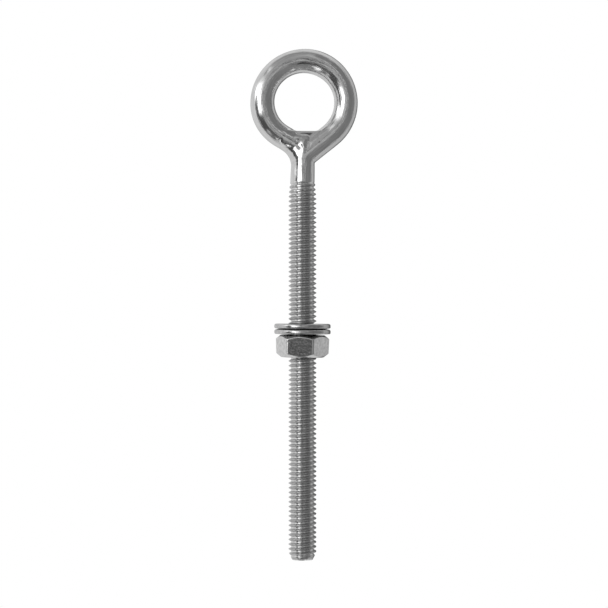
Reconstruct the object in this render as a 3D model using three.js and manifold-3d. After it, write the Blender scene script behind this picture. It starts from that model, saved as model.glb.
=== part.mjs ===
// Welded eye bolt, M6 x 80, with a hexagon nut and two flat washers.
//
// One round bar is threaded at one end and bent into a closed eye at the other. The bar's free
// end butts against the outside of the neck bend and is welded there. The nut and the washers
// sit about half way up the thread.
//
// Millimetres, +Z up. The origin is the centre of the thread's flat end face, +Z runs up the
// thread's axis to the eye, and the eye's hole runs through along Y.
import * as THREE from "three";
import { mergeVertices } from "three/addons/utils/BufferGeometryUtils.js";
import Module from "manifold-3d";

const wasm = await Module();
wasm.setup();

// ---------------------------------------------------------------- driving dimensions

const PITCH = 1.0; // M6 coarse, right-hand
const THREAD_LENGTH = 80;
const CREST_RADIUS = 2.95;
const ROOT_RADIUS = 2.385;
const CREST_HEIGHT_AT_X = 0.77; // height of the crest where the helix first crosses the +X side
const TIP_RADIUS = 2.25; // flat end face, inside the end chamfer

const BAR_RADIUS = 2.5; // plain bar of the neck and the eye
const EYE_RADIUS = 8.9; // centre of the eye to the bar's centreline
const EYE_HEIGHT = 97.25;
const EYE_OFFSET = 0.37; // the eye is bent slightly to one side of the thread's axis
const NECK_OFFSET = 0.1;
const NECK_ANGLE = THREE.MathUtils.degToRad(51.5); // how far the neck leans before the eye's arc
const NECK_BEND_RADIUS = 2.9;
const CLOSING_ANGLE = THREE.MathUtils.degToRad(58.5); // lean of the free end at the neck
const CLOSING_RADIUS = 8.15; // the eye's second half is bent a little tighter
const FREE_END_LENGTH = 3.1; // straight stretch up to the weld

const NUT_ACROSS_FLATS = 9.9;
const NUT_HEIGHT = 4.7;
const NUT_BOTTOM = 43.1;
const NUT_TURNED = THREE.MathUtils.degToRad(-6); // the near flat's turn away from the front
const NUT_CORNER_FILLET = 0.6;
const NUT_CHAMFER_CIRCLE = 4.65; // radius where the corner chamfer meets the end face
const NUT_CHAMFER = THREE.MathUtils.degToRad(36);
const NUT_BORE_RADIUS = 2.54;
const NUT_GROOVE_RADIUS = 3.08;
const NUT_MOUTH_RADIUS = 3.23; // countersinks at both ends of the nut's thread

const WASHER_RADIUS = 6.0;
const WASHER_BORE_RADIUS = 3.2;
const WASHER_THICKNESS = 1.0;
const WASHER_EDGE = 0.25; // rounding of the stamped edges
const STACK_GAP = 0.2; // between the nut and the washers, which lie loose on each other

const WELD_CLEARANCE = 0.06; // between the weld metal and the bar
const WELD_CAST_ON = 0.4; // how far the weld metal reaches back over the free end
const WELD_REACH = 2.4; // and how far it runs on from the free end into the neck

// Corners of the web that fills the crotch, as [across, height] from the eye's centre.
const WEB_CORNERS = [
  [-2.6, -6.35],
  [-1.5, -6.1],
  [3.7, -6.0],
  [3.7, -8.5],
  [0, -10.3],
  [-2.0, -8.3],
];
const WEB_THICKNESS = 3.6;
const WEB_BEVEL = 0.8; // depth of the web's rounded edges
const WEB_BEVEL_INSET = 0.35;

// Bead that rounds off the corner under the free end.
const BEAD_HALF_AXES = [0.8, 1.9, 1.5];
const BEAD_TILT = THREE.MathUtils.degToRad(-28);
const BEAD_INSET = [-0.1, 0.35]; // from the free end's lower corner, across and up

const THREAD_ROOT_FLAT = 0.16 * PITCH;
const THREAD_RUN_OUT = 0.2; // height of the 45 degree run-out's top above the thread
const TRIM_CLEARANCE = 0.25; // outside the crests
const BAR_OVERLAP = 0.3; // the plain bar starts inside the last turn of the thread
const TAP_CREST_FLAT = 0.12 * PITCH;
const TAP_ROOT_FLAT = 0.2 * PITCH;

const BAR_SIDES = 16;
const BAR_STEP = 0.85; // length of one facet along the bent bar
const BEAD_SIDES = [18, 12];
const THREAD_SIDES = 14; // facets in one turn of the thread
const ROUND_SIDES = 32;

// ---------------------------------------------------------------- solids

// A closed three.js geometry as a solid that can be joined and cut.
function solidOf(geometry) {
  const bare = geometry.clone();
  for (const name of Object.keys(bare.attributes)) {
    if (name !== "position") bare.deleteAttribute(name);
  }
  const merged = mergeVertices(bare, 1e-4);
  return new wasm.Manifold(
    new wasm.Mesh({
      numProp: 3,
      vertProperties: merged.attributes.position.array,
      triVerts: new Uint32Array(merged.index.array),
    }),
  );
}

function geometryOf(solid) {
  const { vertProperties, triVerts } = solid.getMesh();
  const geometry = new THREE.BufferGeometry();
  geometry.setAttribute("position", new THREE.BufferAttribute(vertProperties, 3));
  geometry.setIndex(new THREE.BufferAttribute(triVerts, 1));
  geometry.computeVertexNormals();
  return geometry;
}

// A body of revolution about Z from [radius, height] corners, listed from the top down.
function turned(corners, sides = ROUND_SIDES) {
  const points = corners.map(([radius, height]) => new THREE.Vector2(radius, height));
  return new THREE.LatheGeometry(points.reverse(), sides).rotateX(Math.PI / 2);
}

// A closed screw surface. profile lists one pitch's [height, radius] corners from the bottom up,
// starting at the root. The surface is built column by column, and each turn of the screw joins
// the last column to the first one, one pitch higher. Both ends are closed by a fan.
function screwGeometry(profile, bottom, turns) {
  const perTurn = profile.length;
  const rows = turns * perTurn + 1;
  const positions = [];
  for (let side = 0; side < THREAD_SIDES; side++) {
    const angle = (2 * Math.PI * side) / THREAD_SIDES;
    for (let row = 0; row < rows; row++) {
      const [height, radius] = profile[row % perTurn];
      const rise = PITCH * (Math.floor(row / perTurn) + side / THREAD_SIDES);
      positions.push(radius * Math.cos(angle), radius * Math.sin(angle), bottom + rise + height);
    }
  }
  positions.push(0, 0, bottom + PITCH / 2, 0, 0, bottom + PITCH * (turns + 0.5));
  const bottomCentre = THREAD_SIDES * rows;
  const topCentre = bottomCentre + 1;

  const last = THREAD_SIDES - 1;
  const at = (side, row) => side * rows + row;
  const faces = [];
  for (let side = 0; side < THREAD_SIDES; side++) {
    const next = side === last ? (row) => at(0, row + perTurn) : (row) => at(side + 1, row);
    const highest = side === last ? rows - 1 - perTurn : rows - 1;
    for (let row = 0; row < highest; row++) {
      faces.push(at(side, row), next(row), next(row + 1));
      faces.push(at(side, row), next(row + 1), at(side, row + 1));
    }
    faces.push(bottomCentre, next(0), at(side, 0));
    faces.push(topCentre, at(side, highest), next(highest));
  }
  for (let row = 0; row < perTurn; row++) {
    faces.push(bottomCentre, at(0, row), at(0, row + 1));
    faces.push(topCentre, at(last, rows - 1 - row), at(last, rows - 2 - row));
  }
  const geometry = new THREE.BufferGeometry();
  geometry.setAttribute("position", new THREE.Float32BufferAttribute(positions, 3));
  geometry.setIndex(faces);
  return geometry;
}

// ---------------------------------------------------------------- the eye bolt

// An upright 2-D path in the XZ plane as a 3-D curve.
class UprightCurve extends THREE.Curve {
  constructor(path) {
    super();
    this.path = path;
  }

  getPoint(t, target = new THREE.Vector3()) {
    const { x, y } = this.path.getPoint(t);
    return target.set(x, 0, y);
  }
}

// Height at which the leaning and the upright part of the neck's centreline would meet.
function neckCorner() {
  const reach = EYE_OFFSET - NECK_OFFSET + EYE_RADIUS * Math.cos(NECK_ANGLE);
  return EYE_HEIGHT - EYE_RADIUS * Math.sin(NECK_ANGLE) - reach / Math.tan(NECK_ANGLE);
}

// Where the eye's arc ends and the free end runs straight on to the neck.
function closingPoint() {
  const angle = Math.PI + CLOSING_ANGLE;
  return new THREE.Vector2(
    EYE_OFFSET - EYE_RADIUS + CLOSING_RADIUS + CLOSING_RADIUS * Math.cos(angle),
    EYE_HEIGHT + CLOSING_RADIUS * Math.sin(angle),
  );
}

function alongFreeEnd(distance) {
  const direction = new THREE.Vector2(Math.sin(CLOSING_ANGLE), -Math.cos(CLOSING_ANGLE));
  return closingPoint().addScaledVector(direction, distance);
}

// The bar's centreline: up the neck, round the bend, along the eye's arc and back to the neck.
function eyePath(start, freeEndLength) {
  const bendStart = neckCorner() - NECK_BEND_RADIUS * Math.tan(NECK_ANGLE / 2);
  const bendX = NECK_OFFSET + NECK_BEND_RADIUS;
  const closingX = EYE_OFFSET - EYE_RADIUS + CLOSING_RADIUS;
  const end = alongFreeEnd(freeEndLength);

  const path = new THREE.Path();
  path.moveTo(NECK_OFFSET, start);
  path.lineTo(NECK_OFFSET, bendStart);
  path.absarc(bendX, bendStart, NECK_BEND_RADIUS, Math.PI, Math.PI - NECK_ANGLE, true);
  path.absarc(EYE_OFFSET, EYE_HEIGHT, EYE_RADIUS, -NECK_ANGLE, Math.PI, false);
  path.absarc(closingX, EYE_HEIGHT, CLOSING_RADIUS, Math.PI, Math.PI + CLOSING_ANGLE, false);
  path.lineTo(end.x, end.y);
  return path;
}

function barGeometry(radius, start, freeEndLength) {
  const section = new THREE.Shape().absarc(0, 0, radius, 0, 2 * Math.PI, false);
  const path = new UprightCurve(eyePath(start, freeEndLength));
  return new THREE.ExtrudeGeometry(section, {
    steps: Math.round(path.getLength() / BAR_STEP),
    curveSegments: BAR_SIDES,
    extrudePath: path,
  });
}

// The thread is made longer than needed at both ends and trimmed. It starts with a 45 degree
// chamfer and ends in a 45 degree run-out at the plain neck.
function eyeBolt() {
  const profile = [
    [-PITCH / 2 - THREAD_ROOT_FLAT / 2, ROOT_RADIUS],
    [-PITCH / 2 + THREAD_ROOT_FLAT / 2, ROOT_RADIUS],
    [0, CREST_RADIUS],
  ];
  const spareTurns = 2;
  const turns = THREAD_LENGTH / PITCH + spareTurns;
  const thread = screwGeometry(profile, CREST_HEIGHT_AT_X - spareTurns * PITCH, turns);
  const clear = CREST_RADIUS + TRIM_CLEARANCE;
  const top = THREAD_LENGTH + THREAD_RUN_OUT;
  const trim = turned(
    [
      [0, top],
      [BAR_RADIUS, top],
      [clear, top - (clear - BAR_RADIUS)],
      [clear, clear - TIP_RADIUS],
      [TIP_RADIUS, 0],
      [0, 0],
    ],
    THREAD_SIDES,
  );
  const barStart = THREAD_LENGTH - BAR_OVERLAP;
  const bar = solidOf(barGeometry(BAR_RADIUS, barStart, FREE_END_LENGTH));
  return geometryOf(solidOf(thread).intersect(solidOf(trim)).add(bar));
}

// ---------------------------------------------------------------- the weld

// Weld metal that closes the eye. It carries the free end on to the neck, flush with the bar,
// fills the crotch above with a web that has a flat top, and rounds off the corner below. The
// bar is cut out of it.
function eyeWeld() {
  const crotch = new THREE.Shape(WEB_CORNERS.map(([x, y]) => new THREE.Vector2(x, y)));
  const depth = WEB_THICKNESS - 2 * WEB_BEVEL;
  const web = new THREE.ExtrudeGeometry(crotch, {
    depth,
    bevelThickness: WEB_BEVEL,
    bevelSize: WEB_BEVEL_INSET,
    bevelOffset: -WEB_BEVEL_INSET,
    bevelSegments: 2,
  })
    .translate(EYE_OFFSET, 0, -depth / 2)
    .rotateX(Math.PI / 2)
    .translate(0, 0, EYE_HEIGHT);

  const from = alongFreeEnd(FREE_END_LENGTH - WELD_CAST_ON);
  const to = alongFreeEnd(FREE_END_LENGTH + WELD_REACH);
  const middle = from.clone().add(to).multiplyScalar(0.5);
  const length = from.distanceTo(to);
  const closure = new THREE.CylinderGeometry(BAR_RADIUS, BAR_RADIUS, length, ROUND_SIDES)
    .rotateX(Math.PI / 2)
    .rotateY(Math.PI - CLOSING_ANGLE)
    .translate(middle.x, 0, middle.y);

  const end = alongFreeEnd(FREE_END_LENGTH);
  const bead = new THREE.SphereGeometry(1, ...BEAD_SIDES)
    .scale(...BEAD_HALF_AXES)
    .rotateY(BEAD_TILT)
    .translate(end.x + BEAD_INSET[0], 0, end.y - BAR_RADIUS + BEAD_INSET[1]);

  const bar = barGeometry(
    BAR_RADIUS + WELD_CLEARANCE,
    THREAD_LENGTH,
    FREE_END_LENGTH + WELD_CLEARANCE,
  );
  const metal = solidOf(web).add(solidOf(closure)).add(solidOf(bead)).subtract(solidOf(bar));
  // Only the joined-up piece is kept; the cut can leave loose slivers.
  const pieces = metal.decompose().sort((a, b) => b.volume() - a.volume());
  return geometryOf(pieces[0]);
}

// ---------------------------------------------------------------- the nut and the washers

function hexagonShape() {
  const apothem = NUT_ACROSS_FLATS / 2 - NUT_CORNER_FILLET;
  const cornerRadius = apothem / Math.cos(Math.PI / 6);
  const shape = new THREE.Shape();
  for (let corner = 0; corner < 6; corner++) {
    const angle = (Math.PI / 3) * corner;
    const x = cornerRadius * Math.cos(angle);
    const y = cornerRadius * Math.sin(angle);
    shape.absarc(x, y, NUT_CORNER_FILLET, angle - Math.PI / 6, angle + Math.PI / 6, false);
  }
  return shape;
}

function hexNut() {
  const top = NUT_BOTTOM + NUT_HEIGHT;
  const prism = new THREE.ExtrudeGeometry(hexagonShape(), {
    depth: NUT_HEIGHT,
    bevelEnabled: false,
    curveSegments: 2,
  });
  prism.rotateZ(NUT_TURNED).translate(0, 0, NUT_BOTTOM);
  const outer = NUT_ACROSS_FLATS;
  const rise = (outer - NUT_CHAMFER_CIRCLE) * Math.tan(NUT_CHAMFER);
  const chamfers = turned([
    [0, top],
    [NUT_CHAMFER_CIRCLE, top],
    [outer, top - rise],
    [outer, NUT_BOTTOM + rise],
    [NUT_CHAMFER_CIRCLE, NUT_BOTTOM],
    [0, NUT_BOTTOM],
  ]);
  const tapProfile = [
    [-PITCH / 2 - TAP_ROOT_FLAT / 2, NUT_BORE_RADIUS],
    [-PITCH / 2 + TAP_ROOT_FLAT / 2, NUT_BORE_RADIUS],
    [-TAP_CREST_FLAT / 2, NUT_GROOVE_RADIUS],
    [TAP_CREST_FLAT / 2, NUT_GROOVE_RADIUS],
  ];
  const spareTurns = 2; // the tap runs out of both ends of the nut
  const below = Math.floor(NUT_BOTTOM / PITCH) - spareTurns;
  const turns = Math.ceil(NUT_HEIGHT / PITCH) + 2 * spareTurns;
  const tap = screwGeometry(tapProfile, CREST_HEIGHT_AT_X + below * PITCH, turns);
  const mouthDepth = NUT_MOUTH_RADIUS - NUT_BORE_RADIUS;
  const beyond = 0.2; // the countersink tool stands out of the nut at both ends
  const countersinks = turned([
    [0, top + beyond],
    [NUT_MOUTH_RADIUS + beyond, top + beyond],
    [NUT_BORE_RADIUS, top - mouthDepth],
    [NUT_BORE_RADIUS, NUT_BOTTOM + mouthDepth],
    [NUT_MOUTH_RADIUS + beyond, NUT_BOTTOM - beyond],
    [0, NUT_BOTTOM - beyond],
  ]);
  return geometryOf(
    solidOf(prism)
      .intersect(solidOf(chamfers))
      .subtract(solidOf(tap))
      .subtract(solidOf(countersinks)),
  );
}

function washerGeometry(bottom) {
  const top = bottom + WASHER_THICKNESS;
  const half = WASHER_EDGE * (1 - Math.SQRT1_2); // a rounded edge's middle corner
  return turned([
    [WASHER_BORE_RADIUS, top],
    [WASHER_RADIUS - WASHER_EDGE, top],
    [WASHER_RADIUS - half, top - half],
    [WASHER_RADIUS, top - WASHER_EDGE],
    [WASHER_RADIUS, bottom + WASHER_EDGE],
    [WASHER_RADIUS - half, bottom + half],
    [WASHER_RADIUS - WASHER_EDGE, bottom],
    [WASHER_BORE_RADIUS, bottom],
    [WASHER_BORE_RADIUS, top],
  ]);
}

// ---------------------------------------------------------------- assembly

const polished = new THREE.MeshStandardMaterial({ color: 0xb4b4b6, roughness: 0.12, metalness: 1 });
const welded = new THREE.MeshStandardMaterial({ color: 0xa8a8a8, roughness: 0.25, metalness: 1 });
const tumbled = new THREE.MeshStandardMaterial({ color: 0xa6a6a6, roughness: 0.35, metalness: 1 });
const bright = new THREE.MeshStandardMaterial({ color: 0xb0b0b0, roughness: 0.22, metalness: 1 });

const lowerWasherBottom = NUT_BOTTOM + NUT_HEIGHT + STACK_GAP;
const upperWasherBottom = lowerWasherBottom + WASHER_THICKNESS + STACK_GAP;

const eyeBoltAssembly = new THREE.Group();
function addPiece(name, geometry, material) {
  const piece = new THREE.Mesh(geometry, material);
  piece.name = name;
  eyeBoltAssembly.add(piece);
}

addPiece("eye_bolt", eyeBolt(), polished);
addPiece("eye_weld", eyeWeld(), welded);
addPiece("hex_nut", hexNut(), bright);
addPiece("washer_lower", washerGeometry(lowerWasherBottom), tumbled);
addPiece("washer_upper", washerGeometry(upperWasherBottom), tumbled);

export default eyeBoltAssembly;
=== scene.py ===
"""Looks of the welded eye bolt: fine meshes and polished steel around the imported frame."""

import math

import bmesh
import bpy
import numpy as np
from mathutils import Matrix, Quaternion, Vector


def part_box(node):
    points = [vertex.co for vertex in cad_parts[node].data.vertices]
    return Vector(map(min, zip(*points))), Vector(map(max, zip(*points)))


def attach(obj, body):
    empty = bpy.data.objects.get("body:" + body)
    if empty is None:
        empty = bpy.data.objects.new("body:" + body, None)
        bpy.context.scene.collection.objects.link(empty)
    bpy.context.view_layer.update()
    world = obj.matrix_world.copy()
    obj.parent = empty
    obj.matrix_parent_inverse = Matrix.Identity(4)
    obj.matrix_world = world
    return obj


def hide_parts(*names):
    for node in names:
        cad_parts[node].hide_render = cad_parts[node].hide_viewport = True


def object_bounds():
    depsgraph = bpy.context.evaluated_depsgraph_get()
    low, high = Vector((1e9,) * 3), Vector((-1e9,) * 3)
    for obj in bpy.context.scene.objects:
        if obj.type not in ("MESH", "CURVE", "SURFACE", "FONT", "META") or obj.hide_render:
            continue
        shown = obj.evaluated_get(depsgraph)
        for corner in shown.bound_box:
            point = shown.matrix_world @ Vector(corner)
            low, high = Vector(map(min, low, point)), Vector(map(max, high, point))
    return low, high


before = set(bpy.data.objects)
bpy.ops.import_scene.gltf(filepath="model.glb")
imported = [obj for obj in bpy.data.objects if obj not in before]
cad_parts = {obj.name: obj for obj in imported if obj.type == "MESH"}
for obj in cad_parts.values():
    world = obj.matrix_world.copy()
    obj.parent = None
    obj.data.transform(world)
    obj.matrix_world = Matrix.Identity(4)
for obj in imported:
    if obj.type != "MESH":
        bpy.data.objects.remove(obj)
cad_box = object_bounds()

MM = 0.001

# ---------------------------------------------------------------- dimensions, in metres

BOLT_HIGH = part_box("eye_bolt")[1]
NUT_LOW, NUT_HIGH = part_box("hex_nut")
LOWER_LOW, LOWER_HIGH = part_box("washer_lower")
UPPER_LOW, UPPER_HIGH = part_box("washer_upper")

PITCH = 1.0 * MM
THREAD_LENGTH = 80 * MM
CREST_AT_X = 0.77 * MM  # height of the crest where the helix crosses the +X side
CREST_RADIUS = 2.95 * MM
ROOT_RADIUS = 2.385 * MM
TIP_RADIUS = 2.15 * MM
TIP_CHAMFER = 1.6 * MM

BAR_RADIUS = 2.5 * MM
NECK_RADIUS = 2.58 * MM  # the bar just above the thread, not yet drawn down by the bend
NECK_OFFSET = 0.1 * MM
NECK_ANGLE = math.radians(51.5)
NECK_BEND_RADIUS = 2.9 * MM
EYE_RADIUS = 8.9 * MM
EYE_X = BOLT_HIGH.x - EYE_RADIUS - BAR_RADIUS
EYE_Z = BOLT_HIGH.z - EYE_RADIUS - BAR_RADIUS
CLOSING_RADIUS = 8.15 * MM
CLOSING_ANGLE = math.radians(58.5)
FREE_END_LENGTH = 3.1 * MM

NUT_ACROSS_FLATS = 9.9 * MM
NUT_TURNED = math.radians(-6)

COLUMNS = 64  # round the bar and the nut's thread


# ---------------------------------------------------------------- small helpers


def smoothstep(low, high, value):
    t = np.clip((value - low) / (high - low), 0, 1)  # falls where low is above high
    return t * t * (3 - 2 * t)


def waves(points, wavelength, seed, count=10):
    """A smooth random field between about -1 and 1, from plane waves of about one wavelength."""
    random = np.random.default_rng(seed)
    total = np.zeros(points.shape[:-1])
    for _ in range(count):
        direction = random.normal(size=3)
        direction /= np.linalg.norm(direction)
        frequency = 2 * math.pi / (wavelength * random.uniform(0.7, 1.5))
        total += np.sin(points @ direction * frequency + random.uniform(0, 2 * math.pi))
    return total / math.sqrt(count)


def mesh_object(name, vertices, faces, sharp_angle=math.radians(40)):
    mesh = bpy.data.meshes.new(name)
    mesh.from_pydata([tuple(v) for v in vertices], [], [tuple(f) for f in faces])
    mesh.polygons.foreach_set("use_smooth", [True] * len(mesh.polygons))
    mesh.set_sharp_from_angle(angle=sharp_angle)
    mesh.update()
    piece = bpy.data.objects.new(name, mesh)
    bpy.context.scene.collection.objects.link(piece)
    return piece


def ordered_loop(edges):
    """The vertices of one closed loop of edges, in order round it."""
    following = {}
    for edge in edges:
        a, b = edge.verts
        following.setdefault(a, []).append(b)
        following.setdefault(b, []).append(a)
    start = edges[0].verts[0]
    loop, previous, current = [start], None, start
    while True:
        ahead = [v for v in following[current] if v is not previous]
        previous, current = current, ahead[0]
        if current is start:
            return loop
        loop.append(current)


def cut(bm, faces, point, normal):
    """Cuts the faces off beyond a plane and returns the new edge loop's vertices in order."""
    geometry = dict.fromkeys(faces)  # in a fixed order, and each part of the mesh once
    for face in faces:
        geometry.update(dict.fromkeys(face.edges))
        geometry.update(dict.fromkeys(face.verts))
    result = bmesh.ops.bisect_plane(
        bm,
        geom=list(geometry),
        dist=1e-7,
        plane_co=point,
        plane_no=normal,
        clear_outer=True,
    )
    edges = [e for e in result["geom_cut"] if isinstance(e, bmesh.types.BMEdge)]
    return ordered_loop([e for e in edges if e.is_valid and e.is_boundary])


def cap(bm, loop, scales):
    """Closes a loop with flat rings that shrink to its centre."""
    centre = sum((v.co for v in loop), Vector()) / len(loop)
    inner = loop
    for scale in scales:
        ring = [bm.verts.new(centre + (v.co - centre) * scale) for v in loop]
        for k in range(len(loop)):
            following = (k + 1) % len(loop)
            bm.faces.new((inner[k], inner[following], ring[following], ring[k]))
        inner = ring
    middle = bm.verts.new(centre)
    for k in range(len(loop)):
        bm.faces.new((inner[k], inner[(k + 1) % len(loop)], middle))


def zipper(bm, first, second):
    """Joins two loops round the Z axis with triangles, walking both by angle."""

    def sorted_loop(loop):
        return sorted(loop, key=lambda v: math.atan2(v.co.y, v.co.x))

    def angle(v, turns):
        return math.atan2(v.co.y, v.co.x) + 2 * math.pi * turns

    first, second = sorted_loop(first), sorted_loop(second)
    a = b = 0
    while a < len(first) or b < len(second):
        next_a = angle(first[(a + 1) % len(first)], (a + 1) // len(first))
        next_b = angle(second[(b + 1) % len(second)], (b + 1) // len(second))
        if b >= len(second) or (a < len(first) and next_a <= next_b):
            corner = first[(a + 1) % len(first)]
            bm.faces.new((first[a % len(first)], corner, second[b % len(second)]))
            a += 1
        else:
            corner = second[(b + 1) % len(second)]
            bm.faces.new((first[a % len(first)], corner, second[b % len(second)]))
            b += 1


def finish_mesh(bm, mesh, sharp_angle):
    bmesh.ops.recalc_face_normals(bm, faces=bm.faces)
    for face in bm.faces:
        face.smooth = True
    bm.to_mesh(mesh)
    bm.free()
    mesh.set_sharp_from_angle(angle=sharp_angle)
    mesh.update()


# ---------------------------------------------------------------- the bar's centreline


PATH_STEP = 0.02 * MM
PATH_BELOW_TIP = 3 * MM  # the centreline starts below the tip
PATH_PAST_END = 6 * MM  # and runs on past the free end
TANGENT_REACH = 0.12 * MM


def straight_points(start, end):
    count = max(2, int(math.dist(start, end) / PATH_STEP))
    return np.linspace(start, end, count, endpoint=False)


def arc_points(x, z, radius, first, last):
    count = max(2, int(abs(last - first) * radius / PATH_STEP))
    angle = np.linspace(first, last, count, endpoint=False)
    return np.stack([x + radius * np.cos(angle), z + radius * np.sin(angle)], 1)


def centreline():
    """The bar's centreline as points (x, z) and its length at each of them, then where the free
    end lies, which way it points, and where the neck's bend ends."""
    reach = EYE_X - NECK_OFFSET + EYE_RADIUS * math.cos(NECK_ANGLE)
    corner = EYE_Z - EYE_RADIUS * math.sin(NECK_ANGLE) - reach / math.tan(NECK_ANGLE)
    bend_start = corner - NECK_BEND_RADIUS * math.tan(NECK_ANGLE / 2)
    closing_x = EYE_X - EYE_RADIUS + CLOSING_RADIUS
    closing_end = math.pi + CLOSING_ANGLE

    upright = straight_points((0.0, -PATH_BELOW_TIP), (0.0, bend_start))
    upright[:, 0] = NECK_OFFSET * smoothstep(THREAD_LENGTH, bend_start, upright[:, 1])
    bend_x = NECK_OFFSET + NECK_BEND_RADIUS
    bend = arc_points(bend_x, bend_start, NECK_BEND_RADIUS, math.pi, math.pi - NECK_ANGLE)
    eye = arc_points(EYE_X, EYE_Z, EYE_RADIUS, -NECK_ANGLE, math.pi)
    leaning = straight_points(tuple(bend[-1]), tuple(eye[0]))
    closing = arc_points(closing_x, EYE_Z, CLOSING_RADIUS, math.pi, closing_end)
    towards_start = np.array([math.cos(closing_end), math.sin(closing_end)])
    free_start = np.array([closing_x, EYE_Z]) + CLOSING_RADIUS * towards_start
    direction = np.array([math.sin(CLOSING_ANGLE), -math.cos(CLOSING_ANGLE)])
    past_end = free_start + direction * (FREE_END_LENGTH + PATH_PAST_END)
    free = straight_points(tuple(free_start), tuple(past_end))

    points = np.concatenate([upright, bend, leaning, eye, closing, free])
    length = np.concatenate([[0], np.cumsum(np.linalg.norm(np.diff(points, axis=0), axis=1))])
    free_end = free_start + direction * FREE_END_LENGTH
    return points, length - PATH_BELOW_TIP, free_end, direction, bend[-1]


PATH, PATH_LENGTH, FREE_END, FREE_DIRECTION, BEND_END = centreline()
FREE_END_AT = PATH_LENGTH[np.argmin(np.linalg.norm(PATH - FREE_END, axis=1))]


def eye_length(angle):
    """Length along the centreline where it passes an angle round the eye."""
    target = np.array([EYE_X + EYE_RADIUS * math.cos(angle), EYE_Z + EYE_RADIUS * math.sin(angle)])
    return PATH_LENGTH[np.argmin(np.linalg.norm(PATH - target, axis=1))]


def along_path(length):
    """Position and unit tangent, each (x, z), at the given lengths along the centreline."""

    def point(at):
        return np.interp(at, PATH_LENGTH, PATH[:, 0]), np.interp(at, PATH_LENGTH, PATH[:, 1])

    x, z = point(length)
    x_ahead, z_ahead = point(length + TANGENT_REACH)
    x_behind, z_behind = point(length - TANGENT_REACH)
    dx, dz = x_ahead - x_behind, z_ahead - z_behind
    size = np.hypot(dx, dz)
    return x, z, dx / size, dz / size


# ---------------------------------------------------------------- the threaded, bent bar

# The upper half of one pitch of the rolled thread: height above the crest's middle, in pitches,
# and depth below the crest as a share of the thread's depth. The flanks are straight.
THREAD_HALF = (
    (0.06, 0.0),
    (0.1, 0.05),
    (0.14, 0.163),
    (0.36, 0.837),
    (0.4, 0.95),
    (0.45, 0.995),
)


def whole_pitch(half, middle, end):
    """A whole pitch of a profile from its upper half, with its values in the middle and where
    it meets the next pitch."""
    lower_half = tuple((-height, value) for height, value in reversed(half))
    return ((-0.5, end), *lower_half, (0.0, middle), *half)


THREAD_PROFILE = whole_pitch(THREAD_HALF, middle=0.0, end=1.0)
THREAD_TURNS = 80
BAR_FIRST_TURN = -3
BAR_TURNS = 106  # enough to pass the free end, and few enough to stay on the centreline
# Rows spread out along the bar above these heights, by so much of the height above each.
ROW_SPREAD = ((81 * MM, 0.4), (86 * MM, 1.8))

LOW_CRESTS_FROM = 76.5 * MM  # the last turns are not rolled to full height
CREST_LOSS = 0.24 * MM
NECK_DRAWN = (81 * MM, 84.5 * MM)  # where the bend has drawn the neck down to the bar's radius
SWELL = 0.1 * MM  # the bar is fuller where it was bent most, over so much of its length
SWELL_SPREAD = 5 * MM
FREE_END_BEVEL = 0.55 * MM  # under the weld
LEAN_BACK = 0.4 * MM  # of the free end, out of the eye's plane
WAVE_HEIGHT = 0.004 * MM  # of the polished surface
NECK_WAVE_HEIGHT = 0.008 * MM  # and more of it round the neck
CREST_PAINTED_SHADE = 0.6  # painted shade darkens the crests, which are also rougher
GROOVE_PAINTED_LIGHT = -0.2  # and painted light brightens the grooves


def helical_rows(first_turn, turns, profile, relax_from=None):
    """Heights and row numbers of a grid whose rows follow the helix, one array row per row."""
    per_turn = len(profile)
    row = np.arange(turns * per_turn)[:, None]
    column = np.arange(COLUMNS)[None, :]
    turn = first_turn + row // per_turn + column / COLUMNS
    knot = np.array([height for height, _ in profile])[row % per_turn]
    if relax_from is not None:
        # Over two turns the rows even out, where there is no thread to follow.
        even = -0.5 + (row % per_turn) / per_turn
        blend = smoothstep(relax_from, relax_from + 2, turn + even)
        knot = knot + (even - knot) * blend
    return CREST_AT_X + PITCH * (turn + knot), row, column


def helical_faces(rows, per_turn):
    """Faces of such a grid. Each turn joins the last column to the first, one turn higher."""
    faces = []
    for column in range(COLUMNS):
        wraps = column == COLUMNS - 1
        shift = per_turn if wraps else 0
        beside = 0 if wraps else column + 1
        for row in range(rows - 1 - shift):
            faces.append(
                (
                    row * COLUMNS + column,
                    (row + shift) * COLUMNS + beside,
                    (row + shift + 1) * COLUMNS + beside,
                    (row + 1) * COLUMNS + column,
                )
            )
    return faces


def plain_radius(length):
    """Radius of the plain bar: full above the thread, and fuller again where it was bent most."""
    radius = NECK_RADIUS + (BAR_RADIUS - NECK_RADIUS) * smoothstep(*NECK_DRAWN, length)
    for middle in (eye_length(math.radians(70)), FREE_END_AT - 8.5 * MM):
        radius = radius + SWELL * np.exp(-(((length - middle) / SWELL_SPREAD) ** 2))
    return radius


def unevenness(points):
    """Small waves in the polished surface, larger round the neck, where it was heated and bent."""
    near_neck = np.exp(-(((points[..., 2] - 84 * MM) / (4 * MM)) ** 2))
    height = WAVE_HEIGHT + NECK_WAVE_HEIGHT * near_neck
    return height * waves(points * (1, 1, 0.5), 1.6 * MM, seed=3)


def set_back(length):
    """How far the bar leans back, out of the eye's plane, towards its free end."""
    return LEAN_BACK * smoothstep(FREE_END_AT - 11 * MM, FREE_END_AT - 1 * MM, length)


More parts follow.
